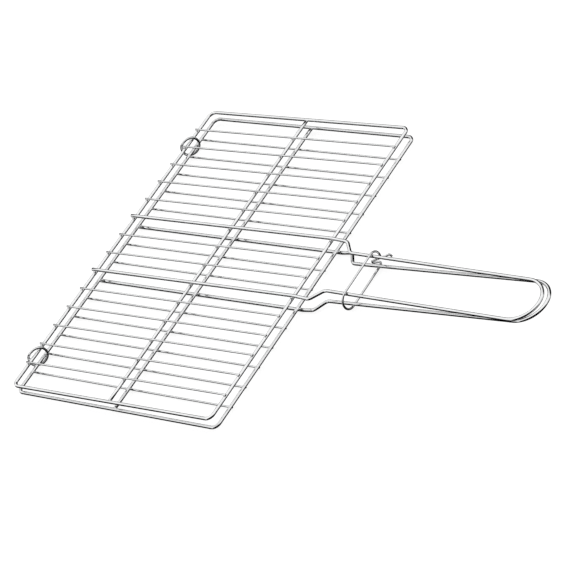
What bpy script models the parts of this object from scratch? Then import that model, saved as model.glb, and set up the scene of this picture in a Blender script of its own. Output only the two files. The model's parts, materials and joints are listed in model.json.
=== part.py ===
"""Hinged wire grill basket with a hairpin handle on each grid and a sliding lock ring.

Two alike welded wire grids lie face to face, the lower one with its cross wires underneath and the
upper one with its cross wires on top. Two loose wire rings join them along one long side, and a
hairpin handle leaves the other long side of each. Metres, +Z up, +X towards the handles, origin in
the middle of the bounding box's underside.
"""

import math

import bpy
from mathutils import Vector

# ---- driving dimensions (metres) ----------------------------------------------------------------
# Wire sizes and the gap left where two wires are welded or lie against each other.
FRAME_RADIUS = 0.0018
CROSS_RADIUS = 0.0010
RING_WIRE_RADIUS = 0.0014
LOCK_WIRE_RADIUS = 0.00115
TOUCH_GAP = 0.0003

# One grid: hinge bar to handle-side bar is GRID_WIDTH, short side to short side is GRID_LENGTH.
# The lower cross wires end under their handle-side bar, the upper ones stand out a little past it.
GRID_WIDTH = 0.280
GRID_LENGTH = 0.400
CORNER_BEND = 0.007
WIRE_PITCH = 0.0262
WIRE_COUNT = 14
HANDLE_PLACES = (5, 8)
CROSS_START = -0.0017
CROSS_END = {"lower": GRID_WIDTH - 0.0005, "upper": GRID_WIDTH + 0.0026}

# Handle, in the grid's own frame: x from the hinge bar, y half spacing, z from the frame's middle.
# Beyond the jog the grip is bent slightly askew, by GRIP_ASKEW at the jog and TIP_ASKEW at the loop.
LEG_START = -0.0026
LEG_BEND_X = GRID_WIDTH + 0.004
JOG_START_X = {"lower": GRID_WIDTH + 0.0192, "upper": GRID_WIDTH + 0.0223}
JOG_END_X = {"lower": GRID_WIDTH + 0.0296, "upper": GRID_WIDTH + 0.0337}
GRIP_HALF_WIDTH = 0.0256
GRIP_ASKEW = {"lower": -0.0007, "upper": 0.0006}
TIP_ASKEW = {"lower": 0.0024, "upper": -0.0004}
JOG_START_Z = 0.0016
JOG_END_Z = 0.0005
TIP_X = {"lower": 0.5671, "upper": 0.5618}
TIP_Z = {"lower": -0.0067, "upper": -0.0072}
LEG_BEND = 0.015
JOG_BEND = 0.007

# How the two grids sit together.
HINGE_GAP = 0.0100
UPPER_TILT = math.radians(0.709)

# Hinge rings: a wire turned a little more than once round both hinge bars. They are loose and stand
# turned on the bars by RING_YAW. Their ends lie side by side over RING_OVERLAP, then ease into line.
RING_RADIUS = 0.0102
RING_YAW = math.radians(60)
RING_START = math.radians(150)
RING_OVERLAP = math.radians(45)
RING_EASE = math.radians(42)
RING_LIFT = 0.0061
RING_PLACES = {"near": -0.156, "far": 0.1515}

# Lock ring: an oblong of wire round all four handle legs. Its first end stops beside the far legs,
# on an arc whose centre lies a little nearer than that of the second end.
# The second end leaves the oblong below it and is hooked round it. Corners and bend radii of the
# hook are measured from the centre of the far round end.
LOCK_X = 0.342
LOCK_HANDLE_HALF = 0.0067
LOCK_CLEARANCE = 0.0004
LOCK_END_Y = 0.0258
LOCK_FIRST_END_Y = 0.0251
LOCK_FIRST_END = math.radians(-25)
LOCK_HOOK_START = math.radians(-62)
LOCK_HOOK = [
    ((0.0, 0.0065, -0.0079), 0.0016),
    ((-0.0090, 0.0039, -0.0082), 0.0012),
    ((-0.0090, 0.0034, -0.0056), 0.0012),
    ((0.0008, 0.0042, -0.0013), 0.0025),
    ((0.0070, 0.0102, -0.0023), 0.0020),
    ((0.0100, 0.0122, -0.0016), 0.0016),
    ((0.0123, 0.0124, -0.0046), 0),
]

# Fineness of the bends, and sides of a round wire.
BEND_STEP = math.radians(15)
HEAVY_SIDES = 12
LIGHT_SIDES = 8

# ---- places worked out from the driving dimensions ----------------------------------------------
CROSS_Z = FRAME_RADIUS + CROSS_RADIUS + TOUCH_GAP
LEG_Z = 2 * FRAME_RADIUS + TOUCH_GAP
LOWER_Z = LEG_Z + FRAME_RADIUS
UPPER_Z = LOWER_Z + HINGE_GAP
RING_HALF_PITCH = RING_WIRE_RADIUS + TOUCH_GAP / 2
RING_REACH = RING_RADIUS * math.cos(RING_YAW) + RING_HALF_PITCH * math.sin(RING_YAW) + RING_WIRE_RADIUS
HINGE_X = (RING_REACH - TIP_X["lower"] - FRAME_RADIUS) / 2
LOCK_HALF_HEIGHT = LOCK_HANDLE_HALF + FRAME_RADIUS + LOCK_CLEARANCE + LOCK_WIRE_RADIUS
LOCK_Z = LOWER_Z + (HINGE_GAP + LOCK_X * math.tan(UPPER_TILT)) / 2

STEEL = {
    "frame_chrome": ((0.80, 0.81, 0.82), 0.12),
    "cross_wire_chrome": ((0.76, 0.77, 0.78), 0.18),
    "ring_chrome": ((0.74, 0.75, 0.76), 0.16),
    "lock_chrome": ((0.72, 0.73, 0.75), 0.16),
}


def remove_scene_objects():
    for item in list(bpy.data.objects):
        bpy.data.objects.remove(item, do_unlink=True)


def chrome(name):
    """Plated steel material, made once and shared by the wires of one kind."""
    if name in bpy.data.materials:
        return bpy.data.materials[name]
    colour, roughness = STEEL[name]
    material = bpy.data.materials.new(name)
    material.use_nodes = True
    shader = material.node_tree.nodes["Principled BSDF"]
    shader.inputs["Base Color"].default_value = (*colour, 1.0)
    shader.inputs["Roughness"].default_value = roughness
    shader.inputs["Metallic"].default_value = 1.0
    return material


def empty(name, place, turn_y=0.0):
    pivot = bpy.data.objects.new(name, None)
    pivot.location = place
    pivot.rotation_euler = (0.0, turn_y, 0.0)
    bpy.context.scene.collection.objects.link(pivot)
    return pivot


def arc(centre, start, sweep_axis, angle, steps):
    """Points on an arc that begins at start and turns about sweep_axis through angle."""
    from_centre = start - centre
    across = sweep_axis.cross(from_centre)
    return [
        centre + from_centre * math.cos(angle * k / steps) + across * math.sin(angle * k / steps)
        for k in range(steps + 1)
    ]


def bent_path(corners, closed=False):
    """Centre line through corners, each a point and the radius of the bend there."""
    points = []
    count = len(corners)
    for index, (corner, radius) in enumerate(corners):
        corner = Vector(corner)
        if radius == 0:
            points.append(corner)
            continue
        before = Vector(corners[index - 1][0])
        after = Vector(corners[(index + 1) % count][0])
        way_in = (corner - before).normalized()
        way_out = (after - corner).normalized()
        bend = way_in.angle(way_out)
        start = corner - way_in * radius * math.tan(bend / 2)
        axis = way_in.cross(way_out).normalized()
        centre = start + axis.cross(way_in) * radius
        steps = max(2, round(bend / BEND_STEP))
        points += arc(centre, start, axis, bend, steps)
    return points


def wire(name, points, radius, sides, material, parent, closed=False, level=True):
    """Round wire along points. Its flats, not its edges, stand at the true radius."""
    curve = bpy.data.curves.new(name, "CURVE")
    curve.dimensions = "3D"
    curve.twist_mode = "Z_UP" if level else "MINIMUM"
    curve.bevel_depth = radius / math.cos(math.pi / sides)
    curve.bevel_resolution = (sides - 4) // 2
    curve.use_fill_caps = not closed
    curve.render_resolution_u = 0
    spline = curve.splines.new("POLY")
    spline.points.add(len(points) - 1)
    for target, point in zip(spline.points, points):
        target.co = (*point, 1.0)
        target.tilt = math.pi / sides
    spline.use_cyclic_u = closed
    spline.use_smooth = True
    curve.materials.append(chrome(material))
    piece = bpy.data.objects.new(name, curve)
    piece.parent = parent
    bpy.context.scene.collection.objects.link(piece)
    return piece


def frame_wire(name, parent):
    """Rectangle of heavy wire with rounded corners, closed by a butt weld."""
    half = GRID_LENGTH / 2
    corners = [
        ((0.0, -half, 0.0), CORNER_BEND),
        ((GRID_WIDTH, -half, 0.0), CORNER_BEND),
        ((GRID_WIDTH, half, 0.0), CORNER_BEND),
        ((0.0, half, 0.0), CORNER_BEND),
    ]
    wire(name, bent_path(corners, closed=True), FRAME_RADIUS, HEAVY_SIDES, "frame_chrome", parent, closed=True)


def centre_bar(name, parent):
    """Straight bar between the short sides, at the level of the frame."""
    end = GRID_LENGTH / 2 - FRAME_RADIUS - TOUCH_GAP
    points = [Vector((GRID_WIDTH / 2, -end, 0.0)), Vector((GRID_WIDTH / 2, end, 0.0))]
    wire(name, points, FRAME_RADIUS, HEAVY_SIDES, "frame_chrome", parent)


def wire_place(index):
    """Distance along the grid of one cross wire or handle leg."""
    return (index - (WIRE_COUNT - 1) / 2) * WIRE_PITCH


def cross_wires(level_name, side, parent):
    """Thin wires across the three long bars, on the outer side of the grid."""
    number = 0
    for index in range(WIRE_COUNT):
        if index in HANDLE_PLACES:
            continue
        number += 1
        place = wire_place(index)
        points = [
            Vector((CROSS_START, place, side * CROSS_Z)),
            Vector((CROSS_END[level_name], place, side * CROSS_Z)),
        ]
        name = f"{level_name}_cross_wire_{number:02d}"
        wire(name, points, CROSS_RADIUS, LIGHT_SIDES, "cross_wire_chrome", parent)


def handle(level_name, side, parent):
    """Hairpin whose legs cross the whole grid, step in towards each other, and meet in a loop."""
    leg_y = abs(wire_place(HANDLE_PLACES[0]))
    corners = []
    for way in (1, -1):
        grip_y = way * GRIP_HALF_WIDTH + GRIP_ASKEW[level_name]
        tip_y = way * GRIP_HALF_WIDTH + TIP_ASKEW[level_name]
        leg = [
            ((LEG_START, way * leg_y, side * LEG_Z), 0),
            ((LEG_BEND_X, way * leg_y, side * LEG_Z), LEG_BEND),
            ((JOG_START_X[level_name], way * leg_y, side * JOG_START_Z), JOG_BEND),
            ((JOG_END_X[level_name], grip_y, side * JOG_END_Z), JOG_BEND),
            ((TIP_X[level_name], tip_y, side * TIP_Z[level_name]), GRIP_HALF_WIDTH - TOUCH_GAP),
        ]
        corners += leg[::way]
    wire(f"{level_name}_handle", bent_path(corners), FRAME_RADIUS, HEAVY_SIDES, "frame_chrome", parent)


def grid(level_name, side, parent):
    frame_wire(f"{level_name}_frame", parent)
    centre_bar(f"{level_name}_centre_bar", parent)
    cross_wires(level_name, side, parent)
    handle(level_name, side, parent)


def smooth_step(value):
    value = min(1.0, max(0.0, value))
    return value * value * (3 - 2 * value)


def hinge_ring(name, parent):
    """Wire turned once and a bit round both hinge bars, its two ends lying side by side."""
    total = math.tau + RING_OVERLAP
    steps = round(total / BEND_STEP)
    level = Vector((math.cos(RING_YAW), math.sin(RING_YAW), 0.0))
    normal = Vector((math.sin(RING_YAW), -math.cos(RING_YAW), 0.0))
    upright = Vector((0.0, 0.0, 1.0))
    points = []
    for k in range(steps + 1):
        turned = total * k / steps
        angle = RING_START + turned
        first_end = 1 - smooth_step((turned - RING_OVERLAP) / RING_EASE)
        last_end = smooth_step((turned - math.tau + RING_EASE) / RING_EASE)
        aside = RING_HALF_PITCH * (first_end - last_end)
        outward = level * math.cos(angle) + upright * math.sin(angle)
        points.append(outward * RING_RADIUS + normal * aside)
    wire(name, points, RING_WIRE_RADIUS, LIGHT_SIDES, "ring_chrome", parent, level=False)


def lock_end(centre_y, first, last):
    """Points round one end of the lock ring, from one angle to another."""
    steps = max(2, round(abs(last - first) / BEND_STEP))
    points = []
    for k in range(steps + 1):
        angle = first + (last - first) * k / steps
        across = LOCK_HALF_HEIGHT * math.cos(angle)
        points.append(Vector((0.0, centre_y + across, LOCK_HALF_HEIGHT * math.sin(angle))))
    return points


def lock_ring(name, parent):
    """Oblong ring in the plane across the handles, one wire end hooked round the other."""
    points = lock_end(LOCK_FIRST_END_Y, LOCK_FIRST_END, math.pi / 2)
    points += lock_end(-LOCK_END_Y, math.pi / 2, 3 * math.pi / 2)
    points += lock_end(LOCK_END_Y, -math.pi / 2, LOCK_HOOK_START)
    centre = Vector((0.0, LOCK_END_Y, 0.0))
    hook = [(centre + Vector(corner), bend) for corner, bend in LOCK_HOOK]
    points += bent_path([(points[-1], 0)] + hook)[1:]
    wire(name, points, LOCK_WIRE_RADIUS, LIGHT_SIDES, "lock_chrome", parent, level=False)


def build():
    remove_scene_objects()
    lower = empty("lower_grid_base", (HINGE_X, 0.0, LOWER_Z))
    upper = empty("upper_grid_pivot", (HINGE_X, 0.0, UPPER_Z), turn_y=-UPPER_TILT)
    lock = empty("lock_slide", (HINGE_X + LOCK_X, 0.0, LOCK_Z))
    grid("lower", -1, lower)
    grid("upper", 1, upper)
    for side_name, place in RING_PLACES.items():
        pivot = empty(f"ring_pivot_{side_name}", (HINGE_X, place, LOWER_Z + RING_LIFT))
        hinge_ring(f"hinge_ring_{side_name}", pivot)
    lock_ring("lock_ring", lock)


build()
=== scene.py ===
"""Looks of the hinged wire grill basket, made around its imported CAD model.

Every wire is drawn again as a smooth round bar on the CAD wire's own centre line, with cut ends and
with a weld wherever two wires of one grid meet. The wires ride on the CAD bodies. Metres, +Z up.
"""

import json
import math

import bpy
from mathutils import Matrix, Vector, noise


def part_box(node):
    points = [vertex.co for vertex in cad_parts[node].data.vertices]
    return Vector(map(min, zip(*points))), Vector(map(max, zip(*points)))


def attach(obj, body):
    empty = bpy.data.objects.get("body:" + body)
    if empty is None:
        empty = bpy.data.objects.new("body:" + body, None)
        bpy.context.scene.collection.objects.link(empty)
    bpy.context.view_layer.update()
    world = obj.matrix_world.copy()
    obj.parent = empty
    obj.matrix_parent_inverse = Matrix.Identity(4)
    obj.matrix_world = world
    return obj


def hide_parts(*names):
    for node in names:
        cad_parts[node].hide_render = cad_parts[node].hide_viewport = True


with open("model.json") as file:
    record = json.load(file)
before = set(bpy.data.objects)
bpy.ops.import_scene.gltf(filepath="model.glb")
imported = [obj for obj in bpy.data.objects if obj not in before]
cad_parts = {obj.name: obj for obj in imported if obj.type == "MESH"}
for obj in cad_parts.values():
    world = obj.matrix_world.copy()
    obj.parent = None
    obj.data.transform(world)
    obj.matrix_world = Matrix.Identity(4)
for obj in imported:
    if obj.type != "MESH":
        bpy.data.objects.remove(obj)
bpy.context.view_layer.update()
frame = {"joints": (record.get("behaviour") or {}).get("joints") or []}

# How far the ends of the legs and of the upper cross wires stand past the middle of a bar.
WIRE_OVERHANG = 0.0026

# ---- sizes read from the frame ------------------------------------------------------------------
JOINTS = {joint["name"]: joint for joint in frame["joints"]}
FRAME_LOW, FRAME_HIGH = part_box("lower_frame")
CROSS_LOW, CROSS_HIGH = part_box("lower_cross_wire_01")
UPPER_LOW, UPPER_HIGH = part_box("upper_frame")

FRAME_RADIUS = (FRAME_HIGH.z - FRAME_LOW.z) / 2
CROSS_RADIUS = (CROSS_HIGH.z - CROSS_LOW.z) / 2
GRID_WIDTH = FRAME_HIGH.x - FRAME_LOW.x - 2 * FRAME_RADIUS
GRID_HALF_LENGTH = FRAME_HIGH.y - FRAME_RADIUS
HINGE_X = FRAME_LOW.x + FRAME_RADIUS
LOWER_Z = (FRAME_HIGH.z + FRAME_LOW.z) / 2
UPPER_Z = JOINTS["upper_grid_hinge"]["pos_m"][2]
UPPER_TILT = math.asin((UPPER_HIGH.z - UPPER_LOW.z - 2 * FRAME_RADIUS) / GRID_WIDTH)
CROSS_Z = LOWER_Z - (CROSS_LOW.z + CROSS_HIGH.z) / 2
CROSS_START = CROSS_LOW.x - HINGE_X
CROSS_END = {"lower": CROSS_HIGH.x - HINGE_X, "upper": GRID_WIDTH + WIRE_OVERHANG}
BAR_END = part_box("lower_centre_bar")[1].y
TOUCH_GAP = CROSS_Z - FRAME_RADIUS - CROSS_RADIUS

# ---- sizes shared with the CAD source -----------------------------------------------------------
CORNER_BEND = 0.007
CROSS_WIRES = 12
RING_WIRE_RADIUS = 0.0014
LOCK_WIRE_RADIUS = 0.00115

LEG_START = -WIRE_OVERHANG
LEG_BEND_X = GRID_WIDTH + 0.004
LEG_Z = 2 * FRAME_RADIUS + TOUCH_GAP
LEG_Y = 0.0393
JOG_START_X = {"lower": GRID_WIDTH + 0.0192, "upper": GRID_WIDTH + 0.0223}
JOG_END_X = {"lower": GRID_WIDTH + 0.0296, "upper": GRID_WIDTH + 0.0337}
GRIP_HALF_WIDTH = 0.0256
GRIP_ASKEW = {"lower": -0.0007, "upper": 0.0006}
TIP_ASKEW = {"lower": 0.0024, "upper": -0.0004}
JOG_START_Z = 0.0016
JOG_END_Z = 0.0005
TIP_X = {"lower": 0.5671, "upper": 0.5618}
TIP_Z = {"lower": -0.0067, "upper": -0.0072}
LEG_BEND = 0.015
JOG_BEND = 0.007

RING_RADIUS = 0.0102
RING_YAW = math.radians(60)
RING_START = math.radians(150)
RING_OVERLAP = math.radians(45)
RING_EASE = math.radians(42)
RING_HALF_PITCH = RING_WIRE_RADIUS + TOUCH_GAP / 2

LOCK_X = 0.342
LOCK_END_Y = 0.0258
LOCK_FIRST_END_Y = 0.0251
LOCK_HALF_HEIGHT = 0.01005
LOCK_Z = LOWER_Z + (UPPER_Z - LOWER_Z + LOCK_X * math.tan(UPPER_TILT)) / 2
LOCK_FIRST_END = math.radians(-25)
LOCK_HOOK_START = math.radians(-62)
# Corners of the hooked end, from the centre of the arc that it leaves, each with its bend radius.
LOCK_HOOK = [
    ((0.0, 0.0065, -0.0079), 0.0016),
    ((-0.0090, 0.0039, -0.0082), 0.0012),
    ((-0.0090, 0.0034, -0.0056), 0.0012),
    ((0.0008, 0.0042, -0.0013), 0.0025),
    ((0.0070, 0.0102, -0.0023), 0.0020),
    ((0.0100, 0.0122, -0.0016), 0.0016),
    ((0.0123, 0.0124, -0.0046), 0),
]

# ---- fineness -----------------------------------------------------------------------------------
BEND_STEP = math.radians(5)
LONGEST_SPAN = 0.012
WIRE_SIDES = 20
CHAMFER = 0.00025
WELD_RINGS = 8
WELD_SIDES = 16

# ---- welds: half sizes along the crossed bar, along the crossing wire, and up and down ----------
CROSS_WELD = (0.00150, 0.00165, 0.00080)
WIRE_END_WELD = (0.00130, 0.00105, 0.00070)
LEG_WELD = (0.00210, 0.00210, 0.00095)
END_WELD = (0.00195, 0.00085, 0.00185)
BUTT_WELD = (0.00192, 0.00070, 0.00192)
WELD_LUMPS = 0.00012
WELD_LUMP_SCALE = 1.7
WELD_SEED_STEP = 0.37
WIRE_END_INSET = 0.0009
BUTT_WELD_PLACE = 0.45


# ---- centre lines -------------------------------------------------------------------------------
def arc(centre, start, sweep_axis, angle, steps):
    """Points on an arc that begins at start and turns about sweep_axis through angle."""
    from_centre = start - centre
    across = sweep_axis.cross(from_centre)
    return [
        centre + from_centre * math.cos(angle * k / steps) + across * math.sin(angle * k / steps)
        for k in range(steps + 1)
    ]


def bent_path(corners):
    """Centre line through corners, each a point and the radius of the bend there."""
    points = []
    count = len(corners)
    for index, (corner, radius) in enumerate(corners):
        corner = Vector(corner)
        if radius == 0:
            points.append(corner)
            continue
        before = Vector(corners[index - 1][0])
        after = Vector(corners[(index + 1) % count][0])
        way_in = (corner - before).normalized()
        way_out = (after - corner).normalized()
        bend = way_in.angle(way_out)
        start = corner - way_in * radius * math.tan(bend / 2)
        axis = way_in.cross(way_out).normalized()
        centre = start + axis.cross(way_in) * radius
        points += arc(centre, start, axis, bend, max(4, round(bend / BEND_STEP)))
    return points


def evenly(points, closed):
    """The same line with extra points wherever two neighbours lie far apart."""
    ends = list(zip(points, points[1:] + points[:1])) if closed else list(zip(points, points[1:]))
    result = []
    for first, second in ends:
        parts = max(1, math.ceil((second - first).length / LONGEST_SPAN))
        result += [first.lerp(second, k / parts) for k in range(parts)]
    if not closed:
        result.append(points[-1])
    return result


def smooth_step(value):
    """A smooth rise from 0 to 1, flat before and after."""
    value = min(1.0, max(0.0, value))
    return value * value * (3 - 2 * value)


def grid_place(level):
    """Where one grid's own frame lies: its origin is in the middle of the hinge bar."""
    if level == "lower":
        return Matrix.Translation((HINGE_X, 0, LOWER_Z))
    return Matrix.Translation((HINGE_X, 0, UPPER_Z)) @ Matrix.Rotation(-UPPER_TILT, 4, "Y")


def outer_side(level):
    """Which way a grid's outer face looks: down or up."""
    return -1 if level == "lower" else 1


def frame_line():
    """The frame's rectangle with its rounded corners, in the grid's own plane."""
    half = GRID_HALF_LENGTH
    corners = [(0, -half), (GRID_WIDTH, -half), (GRID_WIDTH, half), (0, half)]
    return bent_path([((x, y, 0), CORNER_BEND) for x, y in corners])


def handle_line(level):
    """One hairpin: along a leg, in at the jog, round the loop and back the same way."""
    side = outer_side(level)
    corners = []
    for way in (1, -1):
        grip_y = way * GRIP_HALF_WIDTH + GRIP_ASKEW[level]
        tip_y = way * GRIP_HALF_WIDTH + TIP_ASKEW[level]
        leg = [
            ((LEG_START, way * LEG_Y, side * LEG_Z), 0),
            ((LEG_BEND_X, way * LEG_Y, side * LEG_Z), LEG_BEND),
            ((JOG_START_X[level], way * LEG_Y, side * JOG_START_Z), JOG_BEND),
            ((JOG_END_X[level], grip_y, side * JOG_END_Z), JOG_BEND),
            ((TIP_X[level], tip_y, side * TIP_Z[level]), GRIP_HALF_WIDTH - TOUCH_GAP),
        ]
        corners += leg[::way]
    return bent_path(corners)


def hinge_ring_line(side_name):
    """A turn and a bit, with both ends side by side, round the middle of the ring's joint."""
    total = math.tau + RING_OVERLAP
    steps = round(total / BEND_STEP)
    level = Vector((math.cos(RING_YAW), math.sin(RING_YAW), 0.0))
    normal = Vector((math.sin(RING_YAW), -math.cos(RING_YAW), 0.0))
    upright = Vector((0.0, 0.0, 1.0))
    centre = Vector(JOINTS[f"{side_name}_ring_turn"]["pos_m"])
    points = []
    for k in range(steps + 1):
        turned = total * k / steps
        angle = RING_START + turned
        first_end = 1 - smooth_step((turned - RING_OVERLAP) / RING_EASE)
        last_end = smooth_step((turned - math.tau + RING_EASE) / RING_EASE)
        aside = RING_HALF_PITCH * (first_end - last_end)
        outward = level * math.cos(angle) + upright * math.sin(angle)
        points.append(centre + outward * RING_RADIUS + normal * aside)
    return points


def lock_end_line(centre_y, first, last):
    """A rounded end of the lock ring, from the first angle to the last."""
    steps = max(2, round(abs(last - first) / BEND_STEP))
    points = []
    for k in range(steps + 1):
        angle = first + (last - first) * k / steps
        across = LOCK_HALF_HEIGHT * math.cos(angle)
        points.append(Vector((0.0, centre_y + across, LOCK_HALF_HEIGHT * math.sin(angle))))
    return points


def lock_ring_line():
    """From the first cut end over the top, round the near end, back underneath and into the hook."""
    points = lock_end_line(LOCK_FIRST_END_Y, LOCK_FIRST_END, math.pi / 2)
    points += lock_end_line(-LOCK_END_Y, math.pi / 2, 3 * math.pi / 2)
    points += lock_end_line(LOCK_END_Y, -math.pi / 2, LOCK_HOOK_START)
    centre = Vector((0.0, LOCK_END_Y, 0.0))
    hook = [(centre + Vector(corner), bend) for corner, bend in LOCK_HOOK]
    points += bent_path([(points[-1], 0)] + hook)[1:]
    place = Vector((HINGE_X + LOCK_X, 0.0, LOCK_Z))
    return [place + point for point in points]


# ---- meshes -------------------------------------------------------------------------------------
def mesh_piece(name, vertices, faces, slot, body, *replaced):
    """A smooth mesh in the look of its slot. It rides on a body and may stand for CAD nodes."""
    mesh = bpy.data.meshes.new(name)
    mesh.from_pydata([tuple(v) for v in vertices], [], faces)
    mesh.validate()
    mesh.shade_smooth()
    mesh.materials.append(LOOKS[slot])
    piece = bpy.data.objects.new(name, mesh)
    bpy.context.scene.collection.objects.link(piece)
    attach(piece, body)
    if replaced:
        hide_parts(*replaced)
    return piece


def directions(points, closed):
    """The way that the line runs at each of its points."""
    count = len(points)
    result = []
    for k in range(count):
        before = points[k - 1] if closed or k > 0 else points[0]
        after = points[(k + 1) % count] if closed or k < count - 1 else points[-1]
        result.append((after - before).normalized())
    return result


def carried_sides(along, closed):
    """A side direction for each point, carried along the line so that it never twists."""
    first = along[0].orthogonal().normalized()
    sides = [first]
    for k in range(1, len(along)):
        side = sides[-1] - along[k] * sides[-1].dot(along[k])
        sides.append(side.normalized())
    if not closed:
        return sides
    # What is left over after one lap of a closed wire is shared out along it.
    last = sides[-1] - along[0] * sides[-1].dot(along[0])
    error = last.angle(first)
    if last.cross(first).dot(along[0]) < 0:
        error = -error
    count = len(along)
    return [Matrix.Rotation(error * k / count, 3, along[k]) @ sides[k] for k in range(count)]


def wire_mesh(points, radius, closed):
    """Vertices and faces of a round wire. Open wires end in a small chamfer, as cut wire does."""
    points = evenly(points, closed)
    along = directions(points, closed)
    sides = carried_sides(along, closed)
    stations = [(*station, radius) for station in zip(points, along, sides)]
    if not closed:
        stations = chamfered(stations)
    vertices = []
    for point, direction, side, size in stations:
        other = direction.cross(side)
        for k in range(WIRE_SIDES):
            angle = math.tau * k / WIRE_SIDES
            vertices.append(point + (side * math.cos(angle) + other * math.sin(angle)) * size)
    rings = len(stations)
    faces = []
    for ring in range(rings if closed else rings - 1):
        here = ring * WIRE_SIDES
        there = (ring + 1) % rings * WIRE_SIDES
        for k in range(WIRE_SIDES):
            following = (k + 1) % WIRE_SIDES
            faces.append((here + k, here + following, there + following, there + k))
    if not closed:
        faces.append(tuple(reversed(range(WIRE_SIDES))))
        faces.append(tuple(range((rings - 1) * WIRE_SIDES, rings * WIRE_SIDES)))
    return vertices, faces


def chamfered(stations):
    """Stations of an open wire with a broken edge at both cut ends."""
    first_point, first_along, first_side, radius = stations[0]
    last_point, last_along, last_side, radius = stations[-1]
    first_edge = (first_point + first_along * CHAMFER, first_along, first_side, radius)
    last_edge = (last_point - last_along * CHAMFER, last_along, last_side, radius)
    first_face = (first_point, first_along, first_side, radius - CHAMFER)
    last_face = (last_point, last_along, last_side, radius - CHAMFER)
    return [first_face, first_edge] + stations[1:-1] + [last_edge, last_face]


def weld_mesh(centre, axes, sizes, seed):
    """A small lumpy bead of metal with a half size along each of three axes."""
    vertices = []
    rings = [math.pi * (k + 1) / (WELD_RINGS + 1) for k in range(WELD_RINGS)]
    for polar in rings:
        for k in range(WELD_SIDES):
            angle = math.tau * k / WELD_SIDES
            unit = (math.sin(polar) * math.cos(angle), math.sin(polar) * math.sin(angle), math.cos(polar))
            vertices.append(weld_point(centre, axes, sizes, unit, seed))
    top = len(vertices)
    vertices.append(weld_point(centre, axes, sizes, (0, 0, 1), seed))
    vertices.append(weld_point(centre, axes, sizes, (0, 0, -1), seed))
    faces = []
    for k in range(WELD_SIDES):
        following = (k + 1) % WELD_SIDES
        faces.append((top, k, following))
        last = (WELD_RINGS - 1) * WELD_SIDES
        faces.append((top + 1, last + following, last + k))
        for ring in range(WELD_RINGS - 1):
            here = ring * WELD_SIDES
            there = here + WELD_SIDES
            faces.append((here + k, there + k, there + following, here + following))
    return vertices, faces


def weld_point(centre, axes, sizes, unit, seed):
    point = sum((axis * size * part for axis, size, part in zip(axes, sizes, unit)), Vector())
    lump = noise.noise(Vector(unit) * WELD_LUMP_SCALE + Vector((seed, 0.0, 0.0)))
    return centre + point + point.normalized() * lump * WELD_LUMPS


def moved(place, points):
    """Points of a grid's own frame, where that frame lies."""
    return [place @ point for point in points]


def wire_piece(name, points, radius, slot, body, closed=False):
    """A round wire that stands for the CAD node of the same name."""
    vertices, faces = wire_mesh(points, radius, closed)
    return mesh_piece(f"{name}_wire", vertices, faces, slot, body, name)


# ---- materials ----------------------------------------------------------------------------------
CLOUD_SCALE = 70
PATCH_SCALE = 260
PATCH_ROUGHNESS = (0.6, 1.5)
PEEL_STRENGTH = 0.25
PEEL_HEIGHT = 0.00003
NOISE_RANGE = (0.3, 0.7)

FLOOR_DARK = (0.27, 0.27, 0.27, 1.0)
FLOOR_LIGHT = (0.29, 0.29, 0.29, 1.0)
FLOOR_GLOW = 0.83
FLOOR_GRAIN_SCALE = 6


def noise_node(nodes, links, coordinates, scale, detail):
    """Procedural noise, as one value."""
    texture = nodes.new("ShaderNodeTexNoise")
    texture.inputs["Scale"].default_value = scale
    texture.inputs["Detail"].default_value = detail
    links.new(coordinates, texture.inputs["Vector"])
    return texture.outputs["Fac"]


def ranged(nodes, links, value, low, high, source=NOISE_RANGE):
    """Maps a value from the range of its source to low and high."""
    node = nodes.new("ShaderNodeMapRange")
    node.inputs["From Min"].default_value = source[0]
    node.inputs["From Max"].default_value = source[1]
    node.inputs["To Min"].default_value = low
    node.inputs["To Max"].default_value = high
    links.new(value, node.inputs["Value"])
    return node.outputs["Result"]


def mixed_tone(nodes, links, share, first, second):
    """A colour between first and second, by the share of the second."""
    tone = nodes.new("ShaderNodeMix")
    tone.data_type = "RGBA"
    tone.inputs["A"].default_value = first
    tone.inputs["B"].default_value = second
    links.new(share, tone.inputs["Factor"])
    return tone.outputs["Result"]


def plated_steel(name, light, dark, roughness, peel_scale):
    """Bright plating: cloudy in tone, a little rougher in patches, with fine orange peel."""
    material = bpy.data.materials.new(name)
    material.use_nodes = True
    nodes, links = material.node_tree.nodes, material.node_tree.links
    shader = nodes["Principled BSDF"]
    shader.inputs["Metallic"].default_value = 1.0
    coordinates = nodes.new("ShaderNodeTexCoord").outputs["Object"]

    clouds = noise_node(nodes, links, coordinates, CLOUD_SCALE, 4)
    share = ranged(nodes, links, clouds, 0.0, 1.0)
    tone = mixed_tone(nodes, links, share, (*dark, 1.0), (*light, 1.0))
    links.new(tone, shader.inputs["Base Color"])

    patches = noise_node(nodes, links, coordinates, PATCH_SCALE, 3)
    smoothest, roughest = (roughness * part for part in PATCH_ROUGHNESS)
    links.new(ranged(nodes, links, patches, smoothest, roughest), shader.inputs["Roughness"])

    peel = noise_node(nodes, links, coordinates, peel_scale, 2)
    bump = nodes.new("ShaderNodeBump")
    bump.inputs["Strength"].default_value = PEEL_STRENGTH
    bump.inputs["Distance"].default_value = PEEL_HEIGHT
    links.new(peel, bump.inputs["Height"])
    links.new(bump.outputs["Normal"], shader.inputs["Normal"])
    return material


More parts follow.
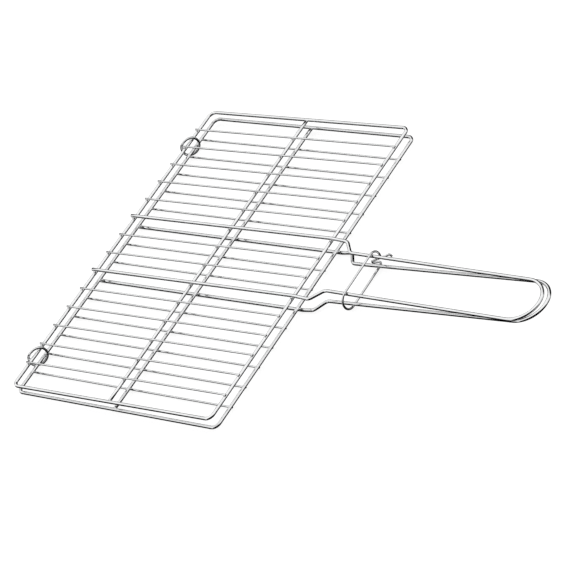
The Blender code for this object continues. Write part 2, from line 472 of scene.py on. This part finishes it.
def floor_material():
    """A pale frosted table top that is lit from below, so that the basket throws hardly any shadow."""
    material = bpy.data.materials.new("pale_floor")
    material.use_nodes = True
    nodes, links = material.node_tree.nodes, material.node_tree.links
    shader = nodes["Principled BSDF"]
    shader.inputs["Roughness"].default_value = 0.9
    shader.inputs["Emission Color"].default_value = (1.0, 1.0, 1.0, 1.0)
    shader.inputs["Emission Strength"].default_value = FLOOR_GLOW
    coordinates = nodes.new("ShaderNodeTexCoord").outputs["Object"]
    grain = noise_node(nodes, links, coordinates, FLOOR_GRAIN_SCALE, 3)
    tone = mixed_tone(nodes, links, grain, FLOOR_DARK, FLOOR_LIGHT)
    links.new(tone, shader.inputs["Base Color"])
    return material


# One look for each slot: its light and its dark tone, its roughness and the fineness of its peel.
LOOKS = {
    "frame_chrome": plated_steel(
        "bright_frame", (0.94, 0.943, 0.947), (0.81, 0.815, 0.82), 0.08, 900),
    "cross_wire_chrome": plated_steel(
        "bright_cross_wire", (0.92, 0.923, 0.927), (0.77, 0.775, 0.78), 0.10, 1300),
    "ring_chrome": plated_steel(
        "bright_ring", (0.90, 0.903, 0.91), (0.72, 0.725, 0.73), 0.08, 1000),
    "lock_chrome": plated_steel(
        "bright_lock", (0.90, 0.904, 0.91), (0.70, 0.705, 0.71), 0.07, 1100),
}


# ---- the basket ---------------------------------------------------------------------------------
def add_weld(bank, centre, axes, sizes):
    """Adds one bead to a bank of (vertices, faces). Each bead gets its own lumps."""
    vertices, faces = bank
    made, made_faces = weld_mesh(centre, axes, sizes, seed=len(vertices) * WELD_SEED_STEP)
    start = len(vertices)
    vertices += made
    faces += [tuple(start + index for index in face) for face in made_faces]


def cross_places(level):
    """Place along the grid of each cross wire, read from its CAD node."""
    places = []
    for number in range(1, CROSS_WIRES + 1):
        low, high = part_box(f"{level}_cross_wire_{number:02d}")
        places.append((low.y + high.y) / 2)
    return places


def grid_welds(level):
    """A bead where each wire crosses a bar, at the centre bar's ends and in the frame's own joint."""
    along_bar, along_wire, up = Vector((0, 1, 0)), Vector((1, 0, 0)), Vector((0, 0, 1))
    across = (along_bar, along_wire, up)
    bars = (0.0, GRID_WIDTH / 2, GRID_WIDTH)
    seam = outer_side(level) * (FRAME_RADIUS + TOUCH_GAP / 2)
    bank = ([], [])
    for bar in bars:
        # A bead lies over the middle of the bar, unless the wires end before it.
        last_bead = CROSS_END[level] - WIRE_END_INSET
        sizes = WIRE_END_WELD if bar > last_bead else CROSS_WELD
        for place in cross_places(level):
            add_weld(bank, Vector((min(bar, last_bead), place, seam)), across, sizes)
        for leg in (-LEG_Y, LEG_Y):
            add_weld(bank, Vector((bar, leg, seam)), across, LEG_WELD)
    for end in (-BAR_END, BAR_END):
        add_weld(bank, Vector((GRID_WIDTH / 2, end, 0)), (along_wire, along_bar, up), END_WELD)
    butt = Vector((GRID_WIDTH, BUTT_WELD_PLACE * GRID_HALF_LENGTH, 0))
    add_weld(bank, butt, (along_wire, along_bar, up), BUTT_WELD)
    vertices, faces = bank
    vertices = moved(grid_place(level), vertices)
    mesh_piece(f"{level}_welds", vertices, faces, "frame_chrome", f"{level}_grid")


def grid(level):
    """All the wires of one grid and their welds, on the body of that grid."""
    place = grid_place(level)
    body = f"{level}_grid"
    rim = moved(place, frame_line())
    wire_piece(f"{level}_frame", rim, FRAME_RADIUS, "frame_chrome", body, closed=True)
    bar = moved(place, [Vector((GRID_WIDTH / 2, y, 0)) for y in (-BAR_END, BAR_END)])
    wire_piece(f"{level}_centre_bar", bar, FRAME_RADIUS, "frame_chrome", body)
    handle = moved(place, handle_line(level))
    wire_piece(f"{level}_handle", handle, FRAME_RADIUS, "frame_chrome", body)
    height = outer_side(level) * CROSS_Z
    for number, across in enumerate(cross_places(level), start=1):
        line = [Vector((CROSS_START, across, height)), Vector((CROSS_END[level], across, height))]
        name = f"{level}_cross_wire_{number:02d}"
        wire_piece(name, moved(place, line), CROSS_RADIUS, "cross_wire_chrome", body)
    grid_welds(level)


def basket():
    """Both grids, both hinge rings and the lock ring."""
    grid("lower")
    grid("upper")
    for side_name in ("near", "far"):
        name, body = f"hinge_ring_{side_name}", f"{side_name}_hinge_ring"
        wire_piece(name, hinge_ring_line(side_name), RING_WIRE_RADIUS, "ring_chrome", body)
    wire_piece("lock_ring", lock_ring_line(), LOCK_WIRE_RADIUS, "lock_chrome", "lock_ring")


# ---- the stage ----------------------------------------------------------------------------------
FLOOR_SIZE = 40.0
CAMERA_TARGET = Vector((HINGE_X + 0.2622, -0.0249, 0.0157))
CAMERA_DISTANCE = 3.0018
CAMERA_AZIMUTH = math.radians(55.057)
CAMERA_ELEVATION = math.radians(37.082)
CAMERA_ROLL = math.radians(-32.797)
CAMERA_LENS = 186.585

# Height on the sky, from -1 straight down to 1 straight up, and the grey there.
SKY = [(-0.66, 0.0), (-0.52, 0.03), (-0.40, 0.42), (-0.20, 0.78), (0.30, 0.95), (1.0, 1.05)]

# Dark sides of the room: the azimuth of the middle, the cosine of the angle from it at which the
# side is fully dark, the cosine at which it begins, and how far it lowers the sky.
DARK_SIDES = [
    (math.radians(-37), 0.80, 0.45, 1.6),
    (math.radians(105), 0.85, 0.70, 1.5),
    (math.radians(-133), 0.95, 0.80, 0.80),
    (math.radians(158), 0.96, 0.91, 0.70),
    (math.radians(28), 0.95, 0.85, 0.27),
]

# Place, width and power of each softbox.
KEY_LIGHT = ((-0.9, 1.4, 2.6), 2.4, 12)
FILL_LIGHT = ((1.6, -0.6, 2.4), 2.4, 8)


def floor():
    """The pale table top under the basket. It doesn't show in the wires' reflections."""
    half = FLOOR_SIZE / 2
    corners = [(-half, -half, 0), (half, -half, 0), (half, half, 0), (-half, half, 0)]
    mesh = bpy.data.meshes.new("floor")
    mesh.from_pydata(corners, [], [(0, 1, 2, 3)])
    mesh.materials.append(floor_material())
    plane = bpy.data.objects.new("floor", mesh)
    bpy.context.scene.collection.objects.link(plane)
    plane.visible_glossy = False


def dark_side(nodes, links, direction, azimuth, full, first, depth):
    """How far one side of the room lowers the sky: depth in the middle of it, nothing far from it."""
    towards = nodes.new("ShaderNodeVectorMath")
    towards.operation = "DOT_PRODUCT"
    towards.inputs[1].default_value = (math.cos(azimuth), math.sin(azimuth), 0)
    links.new(direction, towards.inputs[0])
    return ranged(nodes, links, towards.outputs["Value"], 0.0, depth, source=(first, full))


def studio_world():
    """Wide white light from above that fades to a dark room below. Some sides of it are darker."""
    world = bpy.data.worlds.new("studio")
    world.use_nodes = True
    bpy.context.scene.world = world
    nodes, links = world.node_tree.nodes, world.node_tree.links
    background = nodes["Background"]
    direction = nodes.new("ShaderNodeTexCoord").outputs["Generated"]
    split = nodes.new("ShaderNodeSeparateXYZ")
    links.new(direction, split.inputs["Vector"])
    height = split.outputs["Z"]
    for side in DARK_SIDES:
        lowered = nodes.new("ShaderNodeMath")
        lowered.operation = "SUBTRACT"
        links.new(height, lowered.inputs[0])
        links.new(dark_side(nodes, links, direction, *side), lowered.inputs[1])
        height = lowered.outputs["Value"]
    ramp = nodes.new("ShaderNodeValToRGB")
    elements = ramp.color_ramp.elements
    while len(elements) < len(SKY):
        elements.new(0.5)
    for element, (stop, grey) in zip(elements, SKY):
        element.position = (stop + 1) / 2
        element.color = (grey, grey, grey, 1.0)
    links.new(ranged(nodes, links, height, 0.0, 1.0, source=(-1.0, 1.0)), ramp.inputs["Fac"])
    links.new(ramp.outputs["Color"], background.inputs["Color"])
    background.inputs["Strength"].default_value = 1.0


def soft_light(name, place, size, power):
    """A square softbox that faces the middle of the basket."""
    data = bpy.data.lights.new(name, "AREA")
    data.shape = "SQUARE"
    data.size = size
    data.energy = power
    light = bpy.data.objects.new(name, data)
    light.location = place
    light.rotation_mode = "QUATERNION"
    light.rotation_quaternion = (-Vector(place)).to_track_quat("-Z", "Y")
    light.visible_glossy = False
    bpy.context.scene.collection.objects.link(light)


def camera():
    """A long lens from the near side of the handles, rolled so that they run down to the right."""
    flat = math.cos(CAMERA_ELEVATION)
    back = Vector((
        math.sin(CAMERA_AZIMUTH) * flat,
        -math.cos(CAMERA_AZIMUTH) * flat,
        math.sin(CAMERA_ELEVATION),
    ))
    level_right = Vector((math.cos(CAMERA_AZIMUTH), math.sin(CAMERA_AZIMUTH), 0))
    level_up = back.cross(level_right)
    right = level_right * math.cos(CAMERA_ROLL) + level_up * math.sin(CAMERA_ROLL)
    up = back.cross(right)
    data = bpy.data.cameras.new("camera")
    data.lens = CAMERA_LENS
    data.sensor_width = 36.0
    data.clip_start = 0.1
    data.clip_end = 100.0
    eye = bpy.data.objects.new("camera", data)
    turn = Matrix((right, up, back)).transposed().to_4x4()
    eye.matrix_world = Matrix.Translation(CAMERA_TARGET + back * CAMERA_DISTANCE) @ turn
    bpy.context.scene.collection.objects.link(eye)
    bpy.context.scene.camera = eye


basket()
floor()
studio_world()
soft_light("key_light", *KEY_LIGHT)
soft_light("fill_light", *FILL_LIGHT)
camera()
bpy.context.scene.view_settings.view_transform = "Standard"
